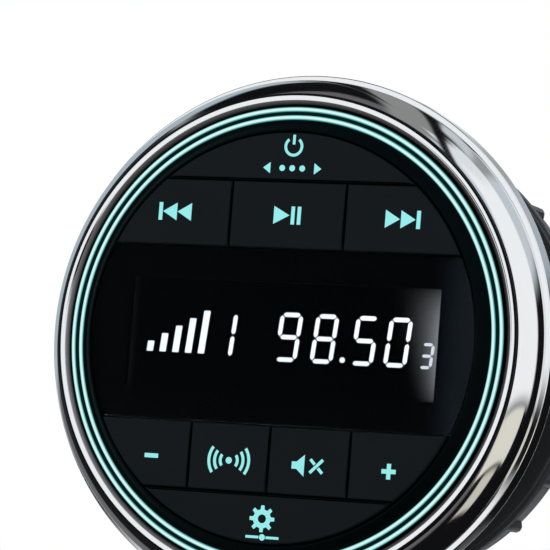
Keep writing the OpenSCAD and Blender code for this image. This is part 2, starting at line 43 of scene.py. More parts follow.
flange_r, flange_front, flange_back = 50.25, -4.5, -2.0
barrel_r, barrel_in_r, pilot_end, barrel_end = 42.5, 39.3, 12.0, 46.0
thread_root, thread_crest, thread_pitch, thread_turns = 41.7, 42.4, 4.0, 7.6
thread_start, thread_half, crest_half, thread_fade = 14.2, 1.1, 0.45, 1.6
thread_steps, thread_sink, bump_height = 768, 0.3, 0.2


def rounded(corners, steps):
    """Closed outline through corners of (across, along, fillet), with each fillet drawn as an arc."""
    outline = []
    for i, (across, along, fillet) in enumerate(corners):
        here = Vector((across, along))
        if not fillet:
            outline.append(here)
            continue
        before = (Vector(corners[i - 1][:2]) - here).normalized()
        after = (Vector(corners[(i + 1) % len(corners)][:2]) - here).normalized()
        half = before.angle(after) / 2
        middle = here + (before + after).normalized() * fillet / math.sin(half)
        start = here + before * fillet / math.tan(half) - middle
        end = here + after * fillet / math.tan(half) - middle
        outline += [middle + start.slerp(end, k / steps) * fillet for k in range(steps + 1)]
    return outline


def started(add, location=(0, 0, 0), **settings):
    """New piece from one primitive, with nothing else selected."""
    bpy.ops.object.select_all(action="DESELECT")
    add(location=location, **settings)
    return bpy.context.object


def loop_of(name, outline):
    """Closed loop of edges beside the barrel's axis, from an outline of (radius, y) in mm."""
    piece = started(bpy.ops.mesh.primitive_circle_add, vertices=len(outline))
    piece.name = name
    for corner, (across, along) in zip(piece.data.vertices, outline):
        corner.co = (across * mm, along * mm, 0)
    return piece


def open_all():
    """Opens the active piece in edit mode with all of it selected."""
    bpy.ops.object.mode_set(mode="EDIT")
    bpy.ops.mesh.select_all(action="SELECT")


def close_up(piece, sharp=32):
    """Merges the seams of a piece in edit mode, points its faces outwards and shades it smooth."""
    bpy.ops.mesh.select_all(action="SELECT")
    bpy.ops.mesh.remove_doubles(threshold=1e-6)
    bpy.ops.mesh.normals_make_consistent(inside=False)
    bpy.ops.object.mode_set(mode="OBJECT")
    bpy.ops.object.shade_smooth_by_angle(angle=math.radians(sharp))
    return piece


def apply_modifier(piece, kind, **settings):
    """Adds one modifier to a piece, sets it and applies it."""
    bpy.context.view_layer.objects.active = piece
    bpy.ops.object.modifier_add(type=kind)
    modifier = piece.modifiers[-1]
    for setting, value in settings.items():
        setattr(modifier, setting, value)
    bpy.ops.object.modifier_apply(modifier=modifier.name)


def turned(name, corners, steps=192, arc=5):
    """Ring or disc: a rounded outline of (radius, y, fillet) in mm, spun once round the barrel's axis."""
    piece = loop_of(name, rounded(corners, arc))
    open_all()
    bpy.ops.mesh.spin(steps=steps, angle=math.tau, center=(0, 0, 0), axis=(0, 1, 0))
    close_up(piece)
    apply_modifier(piece, "WEIGHTED_NORMAL", keep_sharp=True)
    return piece


def joined(name, pieces):
    """Several meshes made one piece."""
    bpy.ops.object.select_all(action="DESELECT")
    for piece in pieces:
        piece.select_set(True)
    bpy.context.view_layer.objects.active = pieces[0]
    bpy.ops.object.join()
    pieces[0].name = name
    return pieces[0]


def node(tree, kind, links=(), **settings):
    """One shader node with its settings, and its inputs as (input, socket or value)."""
    made = tree.nodes.new("ShaderNode" + kind)
    for setting, value in settings.items():
        setattr(made, setting, value)
    for name, value in links:
        if isinstance(value, bpy.types.NodeSocket):
            tree.links.new(value, made.inputs[name])
        else:
            made.inputs[name].default_value = value
    return made


def ramp(tree, value, start, end, low=0, high=1, kind="LINEAR"):
    """Socket that goes from low to high while a value goes from start to end."""
    names = ("Value", "From Min", "From Max", "To Min", "To Max")
    links = zip(names, (value, start, end, low, high))
    return node(tree, "MapRange", links, interpolation_type=kind).outputs[0]


def scaled(tree, colour, share):
    """Socket with a colour or a place scaled by a share."""
    return node(tree, "VectorMath", [(0, colour), ("Scale", share)], operation="SCALE").outputs[0]


def new_group(name, numbers, results, vectors=()):
    """Shader group with its sockets, and the sockets that bring what it is given."""
    tree = bpy.data.node_groups.new(name, "ShaderNodeTree")
    sides = (("INPUT", "Vector", vectors), ("INPUT", "Float", numbers), ("OUTPUT", "Float", results))
    for way, kind, names in sides:
        for socket in names:
            tree.interface.new_socket(socket, in_out=way, socket_type="NodeSocket" + kind)
    return tree, tree.nodes.new("NodeGroupInput").outputs


def grain_group():
    """Shared surface effect: slow clouds for the colour and fine grain for roughness and height."""
    results = ("Cloud", "Grain")
    tree, sizes = new_group("surface_grain", ("Cloud Scale", "Grain Scale"), results)
    place = node(tree, "TexCoord").outputs["Object"]
    result = tree.nodes.new("NodeGroupOutput")
    for name, size, detail in zip(results, sizes, (3.0, 2.0)):
        noise = node(tree, "TexNoise", [("Vector", place), ("Scale", size), ("Detail", detail)])
        tree.links.new(noise.outputs["Fac"], result.inputs[name])
    return tree


surface_grain = grain_group()


def finish(name, colour, roughness, cloud=70, grain=3000, tint=0.25, uneven=0.12, depth=0.03, **sockets):
    """Solid finish whose shade, roughness and height all follow the shared grain."""
    material = bpy.data.materials.new(name)
    material.use_nodes = True
    tree = material.node_tree
    shader = tree.nodes["Principled BSDF"]
    sizes = [("Cloud Scale", cloud), ("Grain Scale", grain)]
    effect = node(tree, "Group", sizes, node_tree=surface_grain).outputs
    shade = ramp(tree, effect["Cloud"], 0, 1, 1 - tint, 1 + tint)
    gloss = ramp(tree, effect["Grain"], 0, 1, roughness - uneven, roughness + uneven)
    bump = node(
        tree, "Bump", [("Height", effect["Grain"]), ("Strength", depth), ("Distance", bump_height * mm)],
    )
    tree.links.new(scaled(tree, colour, shade), shader.inputs["Base Color"])
    tree.links.new(gloss, shader.inputs["Roughness"])
    tree.links.new(bump.outputs[0], shader.inputs["Normal"])
    for socket, value in sockets.items():
        shader.inputs[socket.replace("_", " ")].default_value = value
    return material


def dress(piece, material, body, slot, *stands_for):
    """Gives a piece its finish, puts it on its body and hides the solids that it stands for."""
    piece.data.materials.clear()
    piece.data.materials.append(material)
    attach(piece, body)
    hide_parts(*stands_for)


barrel = turned("barrel", [
    (barrel_in_r, flange_front, 0.3), (flange_r, flange_front, 0.3), (flange_r, flange_back, 0.3),
    (barrel_r, flange_back, 0.25), (barrel_r, pilot_end, 0.4), (thread_root, pilot_end, 0.3),
    (thread_root, barrel_end, 0.5), (barrel_in_r, barrel_end, 0.3),
])
ridge_foot = thread_root - thread_sink
ridge = loop_of("thread", [
    (ridge_foot, thread_start - thread_half), (ridge_foot, thread_start + thread_half),
    (thread_crest, thread_start + crest_half), (thread_crest, thread_start - crest_half),
])
apply_modifier(
    ridge, "SCREW", axis="Y", angle=math.tau * thread_turns,
    screw_offset=thread_pitch * mm * thread_turns,
    steps=thread_steps, render_steps=thread_steps, use_merge_vertices=False,
)
thread_end = thread_start + thread_pitch * thread_turns
for corner in ridge.data.vertices:
    out = math.hypot(corner.co.x, corner.co.z)
    along = corner.co.y / mm
    fade = min(1, max(0, min(along - thread_start, thread_end - along) / thread_fade))
    wanted = ridge_foot * mm + (out - ridge_foot * mm) * fade
    corner.co.x *= wanted / out
    corner.co.z *= wanted / out
open_all()
bpy.ops.mesh.fill_holes(sides=4)
close_up(ridge)
housing_black = finish("housing_black", (0.011, 0.012, 0.013), 0.46, grain=2600, depth=0.12)
dress(joined("housing_barrel", [barrel, ridge]), housing_black, "stereo_body", "housing_black", "housing")

# Front seal and flange screws: a flat rubber ring under the fascia's foot, and six small steel screws
# that pull the fascia down on it through the flange. The solids are right, so they only get their finish.
seal_rubber = finish("seal_rubber", (0.014, 0.014, 0.015), 0.72, grain=1800, depth=0.15)
screw_steel = finish("screw_steel", (0.5, 0.5, 0.51), 0.3, grain=900, tint=0.08, depth=0.02, Metallic=1.0)


def paint(material, *names):
    """Finishes solids that keep their own shape."""
    for name in names:
        nodes[name].data.materials.clear()
        nodes[name].data.materials.append(material)


paint(seal_rubber, "front_seal")
paint(screw_steel, "flange_screws", "board_screws", "main_board_screws")

# Circuit boards and what they carry: a round keypad board behind the face and a main board on the rear
# cover, green glass-fibre with copper tracks under the lacquer, joined by a flat ribbon. All are
# bought-in parts soldered or screwed on, hidden in the sealed barrel.
track_scale, track_bends, track_edge, track_green = 420.0, 0.7, (0.3, 0.34), (0.03, 0.16, 0.07, 1)


def mixed(tree, mask, under, over):
    """Socket with one colour painted over another by a mask."""
    links = [("Factor", mask), ("A", under), ("B", over)]
    return node(tree, "Mix", links, data_type="RGBA").outputs["Result"]


def board_finish():
    """Green lacquer with square-cornered tracks that show through it."""
    material = finish("circuit_board", (0.01, 0.07, 0.03), 0.34, grain=800, depth=0.02)
    tree = material.node_tree
    colour = tree.nodes["Principled BSDF"].inputs["Base Color"]
    place = node(tree, "TexCoord").outputs["Object"]
    tracks = node(
        tree, "TexVoronoi", [("Vector", place), ("Scale", track_scale), ("Randomness", track_bends)],
        distance="MANHATTAN", feature="F1",
    )
    edge = ramp(tree, tracks.outputs["Distance"], *track_edge)
    tree.links.new(mixed(tree, edge, colour.links[0].from_socket, track_green), colour)
    return material


paint(board_finish(), "keypad_board", "main_board")
component_black = finish("component_black", (0.012, 0.012, 0.013), 0.5, grain=2200, depth=0.08)
paint(component_black, "amplifier_chip", "key_switches")
paint(finish("capacitor_sleeve", (0.012, 0.022, 0.075), 0.3, cloud=200), "smoothing_capacitors")
paint(finish("tinplate", (0.56, 0.57, 0.58), 0.28, cloud=120, tint=0.12, Metallic=1.0), "tuner_shield")
ivory = finish("connector_ivory", (0.72, 0.67, 0.54), 0.48, tint=0.06)
paint(ivory, "harness_header", "ribbon_sockets", "ribbon_cable")

# Rear cover: a cast heat sink that closes the barrel, with upright fins outside, and inside four pillars
# and a pad that carry the main board and the power chip. The fins have the draft and soft edges of a
# casting, and the whole cover is bare cast aluminium with a fine sanded skin.
cover_r, cover_front, cover_back, fin_end = 41.6, 46.8, 49.8, 54.8
fin_t, fin_pitch, fin_field_r, fin_steps, fin_draft = 1.6, 6.0, 32.3, 4, 0.72
pillar_r, pillar_xz, board_seat = 3.0, 19.2, 32.0
pad_x, pad_z, pad_seat = (-8.5, 8.5), (2.5, 15.5), 38.0
gland_z, gland_flange_r, gland_neck_r, gland_clear = -22.0, 9.0, 6.6, 1.5
lap, bore_clear, fin_round, pillar_round, pad_round, rear_seal_r = 0.2, 0.15, 0.3, 0.3, 0.4, 41.5


def block(x, y, z):
    """Box between the (low, high) pairs in mm on each axis, as a start or a cutter."""
    piece = started(bpy.ops.mesh.primitive_cube_add, size=1)
    for corner in piece.data.vertices:
        corner.co = [pair[c > 0] * mm for pair, c in zip((x, y, z), corner.co)]
    return piece


def peg(x, z, radius, y, sides=48):
    """Round peg between two levels of y along the barrel's axis, as a start or a cutter."""
    piece = started(
        bpy.ops.mesh.primitive_cylinder_add, (x * mm, (y[0] + y[1]) / 2 * mm, z * mm), vertices=sides,
        radius=radius * mm, depth=(y[1] - y[0]) * mm, rotation=(math.pi / 2, 0, 0),
    )
    bpy.ops.object.transform_apply()
    return piece


def select_at(piece, y):
    """Opens a piece in edit mode with only the corners at one level of y selected."""
    bpy.context.view_layer.objects.active = piece
    bpy.ops.object.mode_set(mode="EDIT")
    bpy.ops.mesh.select_mode(type="VERT")
    bpy.ops.mesh.select_all(action="DESELECT")
    bpy.ops.object.mode_set(mode="OBJECT")
    for corner in piece.data.vertices:
        corner.select = abs(corner.co.y - y * mm) < 1e-6
    bpy.ops.object.mode_set(mode="EDIT")


def soften(piece, y, width, segments=3):
    """Rounds the edges of a piece that lie at one level of y."""
    select_at(piece, y)
    bpy.ops.mesh.bevel(offset=width * mm, segments=segments, affect="EDGES")
    return close_up(piece)


def cut(piece, *cutters):
    """Takes the cutters out of a piece and removes them."""
    tool = joined("cutter", list(cutters))
    apply_modifier(piece, "BOOLEAN", operation="DIFFERENCE", solver="EXACT", object=tool)
    bpy.data.objects.remove(tool)
    return piece


cover = turned("cover", [
    (0, cover_front, 0), (cover_r, cover_front, 0.3), (cover_r, cover_back, 0.7), (0, cover_back, 0),
])
cover_parts = [cut(cover, peg(0, gland_z, gland_neck_r + bore_clear, (cover_front - 1, cover_back + 1)))]
for i in range(-fin_steps, fin_steps + 1):
    x = i * fin_pitch
    reach = math.sqrt(fin_field_r ** 2 - x ** 2)
    beside_gland = abs(x) < gland_flange_r + gland_clear
    low = gland_z + gland_flange_r + gland_clear if beside_gland else -reach
    fin = block((x - fin_t / 2, x + fin_t / 2), (cover_back - lap, fin_end), (low, reach))
    select_at(fin, fin_end)
    bpy.ops.transform.resize(value=(fin_draft, 1, 1), center_override=(x * mm, fin_end * mm, 0))
    bpy.ops.mesh.select_all(action="SELECT")
    bpy.ops.mesh.bevel(offset=fin_round * mm, segments=3, affect="EDGES")
    cover_parts.append(close_up(fin))
for sx in (-1, 1):
    for sz in (-1, 1):
        pillar = peg(sx * pillar_xz, sz * pillar_xz, pillar_r, (board_seat, cover_front + lap))
        cover_parts.append(soften(pillar, board_seat, pillar_round))
cover_parts.append(soften(block(pad_x, (pad_seat, cover_front + lap), pad_z), pad_seat, pad_round))
cast_metal = finish(
    "cast_aluminium", (0.34, 0.35, 0.36), 0.46, cloud=90, grain=1500, tint=0.12, depth=0.25, Metallic=0.9,
)
dress(joined("finned_cover", cover_parts), cast_metal, "stereo_body", "heat_sink", "rear_heat_sink")
rear_seal = turned("rear_seal", [
    (barrel_in_r, barrel_end, 0.1), (rear_seal_r, barrel_end, 0.3),
    (rear_seal_r, cover_front, 0.3), (barrel_in_r, cover_front, 0.1),
])
dress(rear_seal, seal_rubber, "stereo_body", "seal_rubber", "cover_seal")

# Cover screws: four stainless pan-head screws with a cross recess, through the rear cover into the
# bosses of the barrel. One is turned and cut, then copied round the axis with each recess at its own
# angle.
screw_circle, screw_r, screw_head_r, screw_head_h, screw_tip = 36.9, 1.2, 2.6, 1.6, 37.3
recess_half_l, recess_half_w, recess_depth, recess_turn, screw_count = 1.45, 0.3, 0.9, 1.9, 4


def pan_screw():
    """One pan-head screw on the barrel's axis, with a cross recess in its head."""
    head_top = cover_back + screw_head_h
    screw = turned("screw", [
        (0, screw_tip, 0), (screw_r, screw_tip, 0.3), (screw_r, cover_back, 0),
        (screw_head_r, cover_back, 0.1), (screw_head_r, head_top, 1.1), (0, head_top, 0),
    ], 48, 8)
    along, across = (-recess_half_l, recess_half_l), (-recess_half_w, recess_half_w)
    for x, z in ((along, across), (across, along)):
        cut(screw, block(x, (head_top - recess_depth, head_top + 1), z))
    return screw


screws = [pan_screw()]
screws[0].select_set(True)
while len(screws) < screw_count:
    bpy.ops.object.duplicate(linked=False)
    screws.append(bpy.context.object)
for i, screw in enumerate(screws):
    angle = math.tau * (i + 0.5) / screw_count
    place = Matrix.Rotation(angle, 4, "Y") @ Matrix.Translation((screw_circle * mm, 0, 0))
    screw.data.transform(place @ Matrix.Rotation(recess_turn * angle, 4, "Y"))
cover_screws = joined("cover_screw_set", screws)
dress(cover_screws, screw_steel, "stereo_body", "screw_steel", "cover_screws")

# Cable gland: a soft rubber bush that snaps into the rear cover with a flange on each side. Its tapered
# nose has shallow rings, so that it bends with the wiring. It is turned and then moved to its place.
gland_bore, gland_inner_r, gland_tip_r = 4.2, 8.0, 5.5
gland_in, gland_out, gland_end, gland_rings, plain_end = 44.6, 52.0, 60.0, 3, 0.6
ring_shape = ((0.35, 0), (0.45, 0.55), (0.8, 0.55), (0.9, 0))
nose = []
for i in range(gland_rings):
    for share, sink in ring_shape:
        t = (i + share) / (gland_rings + plain_end)
        width = gland_neck_r + (gland_tip_r - gland_neck_r) * t - sink
        nose.append((width, gland_out + (gland_end - gland_out) * t, 0.12))
gland = turned("cable_bush", [
    (gland_bore, gland_in, 0.4), (gland_inner_r, gland_in, 0.8), (gland_inner_r, cover_front, 0.2),
    (gland_neck_r, cover_front, 0), (gland_neck_r, cover_back, 0), (gland_flange_r, cover_back, 0.2),
    (gland_flange_r, gland_out, 0.8), (gland_neck_r, gland_out, 0.5), *nose,
    (gland_tip_r, gland_end, 0.5), (gland_bore, gland_end, 0.4),
], 96)
gland.data.transform(Matrix.Translation((0, 0, gland_z * mm)))
bush_rubber = finish("bush_rubber", (0.012, 0.0125, 0.013), 0.62, cloud=140, grain=2400, depth=0.1)
dress(gland, bush_rubber, "stereo_body", "seal_rubber", "cable_gland")

# Keypad: a silicone sheet with a cup under each key, tact switches below it and small lamps under the
# two light rings. They are hidden by the fascia, so the solids only get their finish.
paint(finish("silicone", (0.05, 0.055, 0.06), 0.55, depth=0.08), "keypad_membrane")
paint(finish("lamp_body", (0.75, 0.8, 0.8), 0.35, tint=0.05), "ring_leds")

# Fascia: the black moulded front frame. A sloped collar goes round the key field, two grooves beside it
# hold the light rings, and a bridge across the middle carries the lens, with a window for the display.
# It is turned, the bridge is a disc cut to a band, and the window and stem holes are cut through.
field_r, collar_in_r, deck_y, web_back, web_front = 39.9, 40.3, -13.8, -8.6, -10.8
collar_y, collar_flat, collar_out_r, groove_floor = -15.4, 0.4, 42.1, -9.8
fascia_r, step_r, step_y, skirt_y, foot_y, foot_in_r = 45.45, 46.75, -11.75, -6.25, -5.3, 45.9
bridge_half, bridge_front, bridge_back = 16.0, -14.1, -12.6
window_half, pocket_half = (32.5, 10.85), (33.7, 12.05)
ring_radii, groove_half = (43.2, 44.8), 0.5
row_z, end_z, side_upper_x, side_lower_x, middle_x = 23.7, 35.1, 18.98, 21.33, 8.35
stem_places = {
    "power": (0, end_z),
    "previous": (-side_upper_x, row_z), "play": (0, row_z), "next": (side_upper_x, row_z),
    "volume_down": (-side_lower_x, -row_z), "band": (-middle_x, -row_z), "mute": (middle_x, -row_z),
    "volume_up": (side_lower_x, -row_z), "settings": (0, -end_z),
}
stem_r, stem_clear, bridge_lap, through = 2.0, 0.06, 0.1, (-20, 0)


def thickened(piece, depth):
    """Closed tile from a flat outline in edit mode, pulled along y."""
    bpy.ops.mesh.select_all(action="SELECT")
    bpy.ops.mesh.extrude_region_move(TRANSFORM_OT_translate={"value": (0, depth * mm, 0)})
    return close_up(piece)


def band_of_disc(name, radius, back, front, x=(-60, 60), z=(-60, 60), sides=256):
    """Flat tile: a disc cut to the (low, high) pairs of x and z, and pulled from back to front."""
    tile = started(
        bpy.ops.mesh.primitive_circle_add, (0, back * mm, 0), vertices=sides, radius=radius * mm,
        fill_type="NGON", rotation=(math.pi / 2, 0, 0),
    )
    bpy.ops.object.transform_apply()
    tile.name = name
    bpy.ops.object.mode_set(mode="EDIT")
    for low, high, out in ((*x, Vector((1, 0, 0))), (*z, Vector((0, 0, 1)))):
        for level, side in ((low, -out), (high, out)):
            bpy.ops.mesh.select_all(action="SELECT")
            bpy.ops.mesh.bisect(
                plane_co=out * level * mm, plane_no=side, clear_outer=True, threshold=1e-6,
            )
    return thickened(tile, front - back)


groove_walls = []
for radius in ring_radii:
    inner, outer = radius - groove_half, radius + groove_half
    groove_walls += [
        (inner, deck_y, 0.07), (inner, groove_floor, 0), (outer, groove_floor, 0), (outer, deck_y, 0.07),
    ]
fascia = turned("fascia", [
    (0, web_back, 0), (0, web_front, 0), (collar_in_r, web_front, 0), (collar_in_r, collar_y, 0.12),
    (collar_in_r + collar_flat, collar_y, 0.2), (collar_out_r, deck_y, 0.2), *groove_walls,
    (fascia_r, deck_y, 0.05), (fascia_r, step_y, 0), (step_r, step_y, 0), (flange_r, skirt_y, 0),
    (flange_r, foot_y, 0), (foot_in_r, foot_y, 0), (foot_in_r, web_back, 0),
], 256)
bridge = band_of_disc(
    "bridge", collar_in_r + bridge_lap, web_front + bridge_lap, bridge_front,
    z=(-bridge_half, bridge_half),
)
for piece in (bridge, fascia):
    for (half_x, half_z), depth in ((window_half, through), (pocket_half, (bridge_back, 0))):
        cut(piece, block((-half_x, half_x), depth, (-half_z, half_z)))
cut(fascia, *[peg(x, z, stem_r + stem_clear, through, 32) for x, z in stem_places.values()])
# Painted light: a faint turquoise glow from the fascia between these radii, in place of the rings' light
# falling on it.
spill_rise, spill_fall, painted_spill_glow = (42.7, 43.5), (44.9, 45.3), (0.0, 0.006, 0.0065)


def maths(tree, operation, *values):
    """Socket with the result of one sum on sockets and numbers."""
    return node(tree, "Math", enumerate(values), operation=operation).outputs[0]


def from_axis(tree):
    """Socket with the distance of each point from the barrel's axis, in mm."""
    place = node(tree, "TexCoord").outputs["Object"]
    flat = node(tree, "VectorMath", [(0, place), (1, (1 / mm, 0, 1 / mm))], operation="MULTIPLY")
    return node(tree, "VectorMath", [(0, flat.outputs[0])], operation="LENGTH").outputs["Value"]


def shine(tree, colour, strength=1.0):
    """Lets a finish give off light of its own."""
    shader = tree.nodes["Principled BSDF"]
    tree.links.new(colour, shader.inputs["Emission Color"])
    shader.inputs["Emission Strength"].default_value = strength


def fascia_finish():
    """Black moulding with a painted glow round the grooves, in place of the rings' light falling on it.
    """
    material = finish(
        "fascia_black", (0.0006, 0.002, 0.0025), 0.34, grain=3500, uneven=0.06, depth=0.03,
        Specular_IOR_Level=0.015,
    )
    tree = material.node_tree
    out = from_axis(tree)
    near, far = ramp(tree, out, *spill_rise), ramp(tree, out, *spill_fall, 1, 0)
    # Painted glow of the rings' light on the moulding.
    shine(tree, scaled(tree, painted_spill_glow, maths(tree, "MULTIPLY", near, far)))
    return material


fascia_frame = joined("fascia_frame", [fascia, bridge])
dress(fascia_frame, fascia_finish(), "stereo_body", "fascia_black", "front_frame")

# Light rings: two clear guides pressed into the grooves, lit from behind so that they glow turquoise.
# Each is turned with a domed top. The glow is almost white along the middle and deeper at the edges.
ring_half, ring_dome, glow_fade = 0.45, 0.38, (0.12, 0.42)
ring_core, ring_edge = (0.62, 0.88, 0.86, 1), (0.015, 0.24, 0.23, 1)


def light_guide(name, radius):
    """Glow that fades from the middle of a ring of this radius to its edges."""
    material = finish(name, (0.03, 0.06, 0.06), 0.35, tint=0.05, Specular_IOR_Level=0.1)
    tree = material.node_tree
    away = maths(tree, "ABSOLUTE", maths(tree, "SUBTRACT", from_axis(tree), radius))
    share = ramp(tree, away, *glow_fade, kind="SMOOTHSTEP")
    shine(tree, mixed(tree, share, ring_core, ring_edge))
    return material


for side, radius in zip(("inner", "outer"), ring_radii):
    guide = turned(side + "_light_guide", [
        (radius - ring_half, groove_floor, 0), (radius + ring_half, groove_floor, 0),
        (radius + ring_half, deck_y, ring_dome), (radius - ring_half, deck_y, ring_dome),
    ], 256, 6)
    dress(guide, light_guide(side + "_glow", radius), "stereo_body", "light_guide", side + "_light_ring")

# Display: a black segment panel in front of a white light box. Its glass is almost black, with a soft
# grey bleed of light at the right end of the window and a faint one at the left.
paint(finish("light_box", (0.8, 0.8, 0.78), 0.5, tint=0.04), "lcd_backlight")
bleed_colour, bleed_start, bleed_end = (0.45, 0.46, 0.465), 22.6, 31.8
bleed_slant, bleed_curve, bleed_half = -0.32, 3.7, 11.8
faint_start, faint_end, faint_share = -31.0, -32.6, 0.016


def axes_of(tree):
    """Sockets with the x, y and z of each point, in mm."""
    place = scaled(tree, node(tree, "TexCoord").outputs["Object"], 1 / mm)
    return node(tree, "SeparateXYZ", [("Vector", place)]).outputs


def panel_finish():
    """Near-black glass with the light box's bleed at the window's ends."""
    material = finish(
        "display_glass", (0.0003, 0.001, 0.002), 0.3, tint=0.2, depth=0.0, Specular_IOR_Level=0.0,
    )
    tree = material.node_tree
    x, _, z = axes_of(tree)
    start = maths(tree, "MULTIPLY_ADD", z, bleed_slant, bleed_start)
    right = maths(tree, "POWER", ramp(tree, x, start, bleed_end), bleed_curve)
    middle = ramp(tree, maths(tree, "MULTIPLY", z, z), 0, bleed_half ** 2, 1, 0)
    left = ramp(tree, x, faint_start, faint_end, 0, faint_share, "SMOOTHSTEP")
    shine(tree, scaled(tree, bleed_colour, maths(tree, "MULTIPLY_ADD", right, middle, left)))
    return material


paint(panel_finish(), "lcd_glass")

# Segments: the lit characters on the display, thin white bars that lean a little to the right. A level
# meter and plain digits show. Each bar is a pointed plate drawn out a hair in front of the glass.
glass_front, segment_lift, segment_t = -12.6, 0.06, 0.05
lean, stroke, corner_gap, digit_w, digit_h, baseline = 0.09, 0.86, 0.4, 4.75, 9.6, -4.5
lit = {"0": "abcdef", "1": "bc", "3": "abcdg", "5": "acdfg", "8": "abcdefg", "9": "abcdfg"}


def plate(outline, front, thickness):
    """Thin plate with a closed outline of (x, z) in mm and its face at the level front."""
    piece = started(bpy.ops.mesh.primitive_circle_add, vertices=len(outline), fill_type="NGON")
    for corner, (x, z) in zip(piece.data.vertices, outline):
        corner.co = (x * mm, front * mm, z * mm)
    bpy.ops.object.mode_set(mode="EDIT")
    return thickened(piece, thickness)


def leaning(x, z, outline):
    """Outline about (0, 0) leaned to the right and moved to (x, z)."""
    return [(x + u + lean * v, z + v) for u, v in outline]


def bar(length, thick, upright):
    """Pointed bar about (0, 0)."""
    tip, half = length / 2, thick / 2
    end = tip - half
    flat = [(-tip, 0), (-end, half), (end, half), (tip, 0), (end, -half), (-end, -half)]
    return [(v, u) for u, v in flat] if upright else flat


def digit(character, x, width=digit_w, height=digit_h, thick=stroke):
    """Outlines of the lit bars of one digit that stands on the baseline at x."""
    mid_z = baseline + height / 2
    side, rise = (width - thick) / 2, (height - thick) / 2
    short, tall = width - thick * (1 + corner_gap), rise - thick * corner_gap
    bars = {
        "a": (0, rise, short, False), "g": (0, 0, short, False), "d": (0, -rise, short, False),
        "f": (-side, rise / 2, tall, True), "b": (side, rise / 2, tall, True),
        "e": (-side, -rise / 2, tall, True), "c": (side, -rise / 2, tall, True),
    }
    shapes = []
    for name in lit[character]:
        u, v, length, upright = bars[name]
        shapes.append(leaning(x, mid_z, [(u + p, v + q) for p, q in bar(length, thick, upright)]))
    return shapes


def around(x, z, radius, turns):
    """Points at one distance from (x, z), at each of the angles."""
    return [(x + radius * math.cos(a), z + radius * math.sin(a)) for a in turns]


def round_outline(x, z, radius, steps=24):
    """Round outline about (x, z)."""
    return around(x, z, radius, [math.tau * k / steps for k in range(steps)])


def box_outline(x, z, w, h):
    """Upright rectangle about (x, z)."""
    corners = ((-w, -h), (w, -h), (w, h), (-w, h))
    return [(x + u / 2, z + v / 2) for u, v in corners]


meter_bars, meter_x, meter_pitch, meter_w = 5, -28.2, 2.75, 1.35
meter_low, meter_step, meter_lift = 2.0, 1.6, 0.8
channel_x, channel_h, digit_places = -12.6, 9.3, (("9", 1.1), ("8", 8.6), ("5", 16.95), ("0", 23.8))
point_x, point_z, point_r, counter_size = 12.6, -3.6, 0.55, (29.8, 2.7, 5.0, 0.6)
shapes = []
for i in range(meter_bars):
    tall = meter_low + meter_step * i
    box = box_outline(0, tall / 2, meter_w, tall)
    shapes.append(leaning(meter_x + i * meter_pitch, baseline + meter_lift, box))
shapes += digit("1", channel_x, height=channel_h)
for character, x in digit_places:
    shapes += digit(character, x)
shapes.append(round_outline(point_x, point_z, point_r))
segment_front = glass_front - segment_lift
segments = joined("display_segments", [plate(shape, segment_front, segment_t) for shape in shapes])
unlit_share, glow_low, glow_high = 0.05, 0.92, 1.06


def glow(name, colour, strength):
    """Lit surface of one colour, with the faint unevenness of a printed film."""
    unlit = tuple(unlit_share * c for c in colour)
    material = finish(name, unlit, 0.4, tint=0.05, Specular_IOR_Level=0.1)
    tree = material.node_tree
    cloud = next(n for n in tree.nodes if n.type == "GROUP").outputs["Cloud"]
    shine(tree, scaled(tree, colour, ramp(tree, cloud, 0, 1, glow_low, glow_high)), strength)
    return material


dress(segments, glow("segment_white", (0.94, 0.96, 1.0), 2.5), "stereo_body", "lamp")
counter_bars = [plate(shape, segment_front, segment_t) for shape in digit("3", *counter_size)]
counter = joined("display_counter", counter_bars)
dress(counter, glow("counter_white", (0.9, 0.95, 1.0), 1.8), "stereo_body", "lamp")

# Keys: nine charcoal rubber-touch caps that fill the round field, each with a guide stem through the
# fascia. A cap is a disc cut to its share of the field, with a soft front edge and a slit at its sides.
key_back, key_front, key_edge, key_gap = -12.2, -16.0, 0.35, 0.15
stem_end, stem_lap, stem_round = -8.7, 0.1, 0.2
window_z, row_top, far = 17.1, 30.3, 60.0
play_x, wide_x, slit_half, slit_end = 12.0, 16.7, 0.15, 1.4
upper, lower = (window_z, row_top), (-row_top, -window_z)
key_areas = {
    "power": ((-far, far), (row_top, far)),
    "previous": ((-far, -play_x), upper), "play": ((-play_x, play_x), upper),
    "next": ((play_x, far), upper), "volume_down": ((-far, -wide_x), lower),
    "band": ((-wide_x, 0), lower), "mute": ((0, wide_x), lower), "volume_up": ((wide_x, far), lower),
    "settings": ((-far, far), (-far, -row_top)),
}
key_rubber = finish(
    "key_rubber", (0.0034, 0.0052, 0.0062), 0.5, cloud=55, grain=3200, tint=0.18, uneven=0.08, depth=0.1,
    Specular_IOR_Level=0.06,
)
for key, area in key_areas.items():
    x, z = ((low + key_gap, high - key_gap) for low, high in area)
    cap = soften(band_of_disc(key + "_cap", field_r, key_back, key_front, x, z), key_front, key_edge)
    for edge in x:
        if abs(edge) < field_r:
            slit = (z[0] + slit_end, z[1] - slit_end)
            cut(cap, block((edge - slit_half, edge + slit_half), (key_front - 1, key_back + 1), slit))
    stem = peg(*stem_places[key], stem_r, (key_back - stem_lap, stem_end))
    cap = joined(key + "_cap", [cap, soften(stem, stem_end, stem_round)])
    dress(cap, key_rubber, key + "_button", "key_rubber", key + "_key")

# Key legends: standard transport signs and plain pictograms, moulded through the caps in clear resin and
# lit from behind. Each is a thin inlay that stands a hair above its cap and moves with it.
legend_proud, legend_t = 0.02, 0.12
legend_front = key_front - legend_proud


def arc_band(x, z, inner, outer, start, end, steps=20):
    """Part of a flat ring about (x, z) between two angles in degrees."""
    turns = [math.radians(start + (end - start) * k / steps) for k in range(steps + 1)]
    return around(x, z, outer, turns) + around(x, z, inner, reversed(turns))


